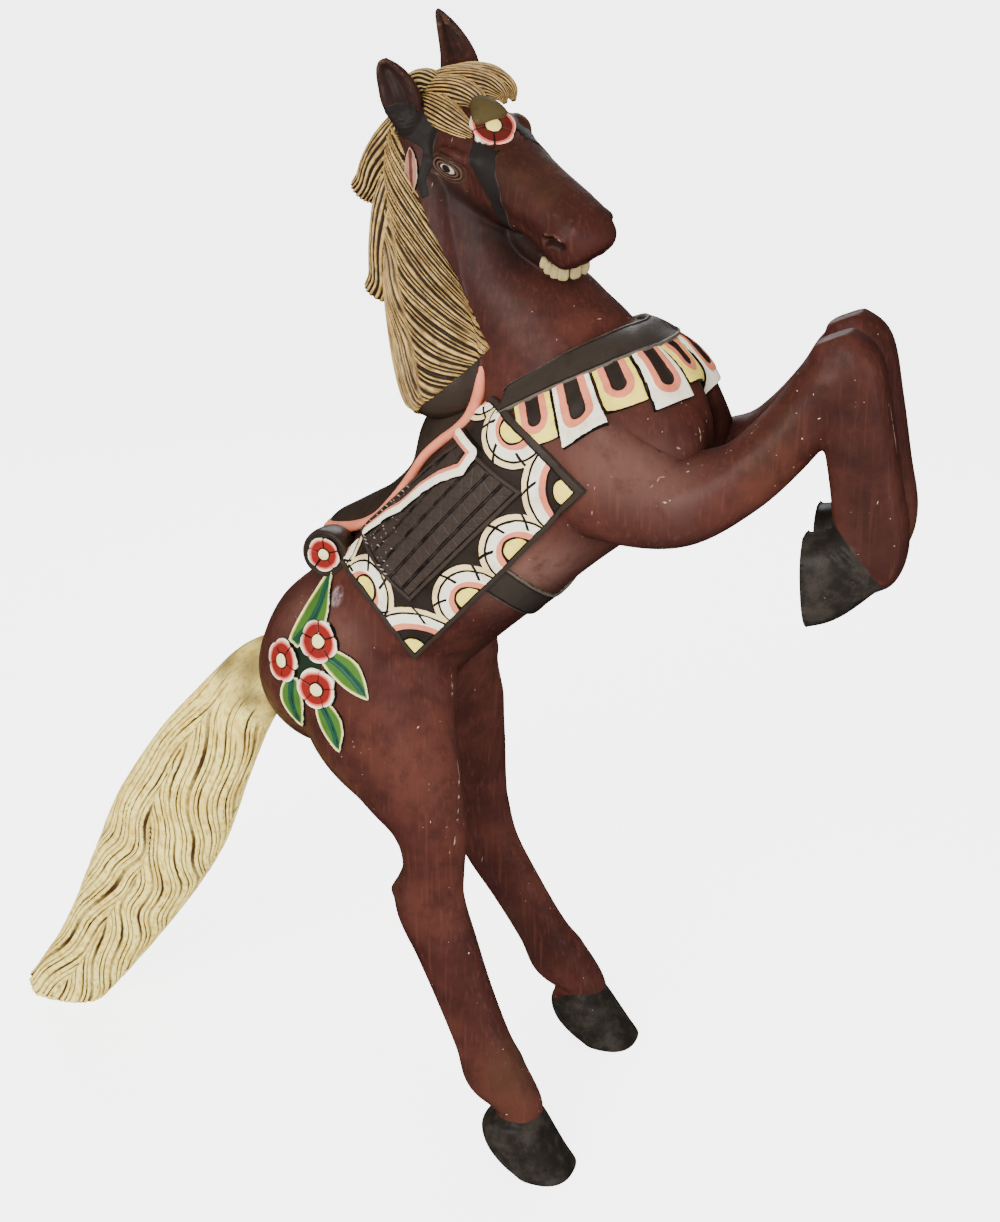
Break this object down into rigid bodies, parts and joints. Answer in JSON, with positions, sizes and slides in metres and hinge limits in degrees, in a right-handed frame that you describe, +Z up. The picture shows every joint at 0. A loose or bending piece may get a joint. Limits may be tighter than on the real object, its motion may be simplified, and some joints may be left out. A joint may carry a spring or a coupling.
{
  "type": "carousel horse",
  "caption": "Carved wooden carousel horse rearing on its hind hooves and long tail, with painted saddle, blanket, fringed breast strap and rump flowers.",
  "frame": {"origin": "bottom centre of the whole horse's bounding box, on the ground that the hind hooves and the tail stand on", "axes": "+X where the horse faces, +Y its left side, +Z up"},
  "size_m": [1.1125, 0.3667, 1.2396],
  "materials": {
    "stained_wood": "reddish dark brown stain over carved wood, half gloss, with pale scratches; painted trappings",
    "cream_painted_wood": "cream paint rubbed back over deep carved hair grooves"
  },
  "bodies": {
    "root": {"carved_horse": "stained_wood", "carved_tail": "cream_painted_wood"}
  },
  "joints": []
}
